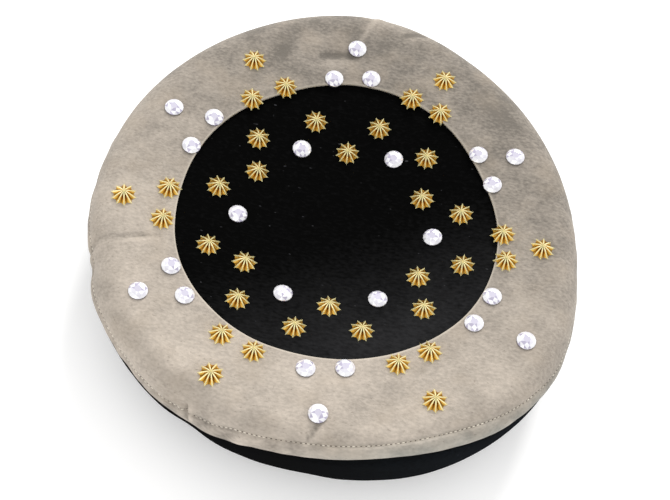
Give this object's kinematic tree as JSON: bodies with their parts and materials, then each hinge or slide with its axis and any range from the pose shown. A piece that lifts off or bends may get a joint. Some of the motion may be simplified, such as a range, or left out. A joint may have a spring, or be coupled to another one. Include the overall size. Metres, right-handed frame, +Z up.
{
  "type": "round two-tone suede kalpak cap with star studs",
  "caption": "Soft round cap with a dished dark centre, a pale ring rolled over the rim, a dark side turned in to the head opening, star studs and faceted stones.",
  "frame": {"origin": "middle of the cap's box seen from above, on the surface that it rests on", "axes": "+Z up out of the crown, +Y to the far side of the picture, +X to its right"},
  "size_m": [0.2753, 0.2845, 0.0699],
  "materials": {
    "black_suede": "napped suede, matt",
    "beige_suede": "napped suede, matt",
    "gilt": "pressed and gilded, glossy",
    "crystal": "foil-backed faceted glass",
    "thread": "twisted sewing thread"
  },
  "bodies": {
    "root": {"centre_panel": "black_suede", "crown_ring": "beige_suede", "side_panel": "black_suede", "panel_star_1a": "gilt", "panel_star_1b": "gilt", "panel_star_1c": "gilt", "panel_star_2a": "gilt", "panel_star_2b": "gilt", "panel_star_2c": "gilt", "panel_star_3a": "gilt", "panel_star_3b": "gilt", "panel_star_3c": "gilt", "panel_star_4a": "gilt", "panel_star_4b": "gilt", "panel_star_4c": "gilt", "panel_star_5a": "gilt", "panel_star_5b": "gilt", "panel_star_5c": "gilt", "panel_star_6a": "gilt", "panel_star_6b": "gilt", "panel_star_6c": "gilt", "ring_star_1a": "gilt", "ring_star_1b": "gilt", "ring_star_1c": "gilt", "ring_star_2a": "gilt", "ring_star_2b": "gilt", "ring_star_2c": "gilt", "ring_star_3a": "gilt", "ring_star_3b": "gilt", "ring_star_3c": "gilt", "ring_star_4a": "gilt", "ring_star_4b": "gilt", "ring_star_4c": "gilt", "ring_star_5a": "gilt", "ring_star_5b": "gilt", "ring_star_5c": "gilt", "ring_star_6a": "gilt", "ring_star_6b": "gilt", "ring_star_6c": "gilt"}
  },
  "joints": []
}
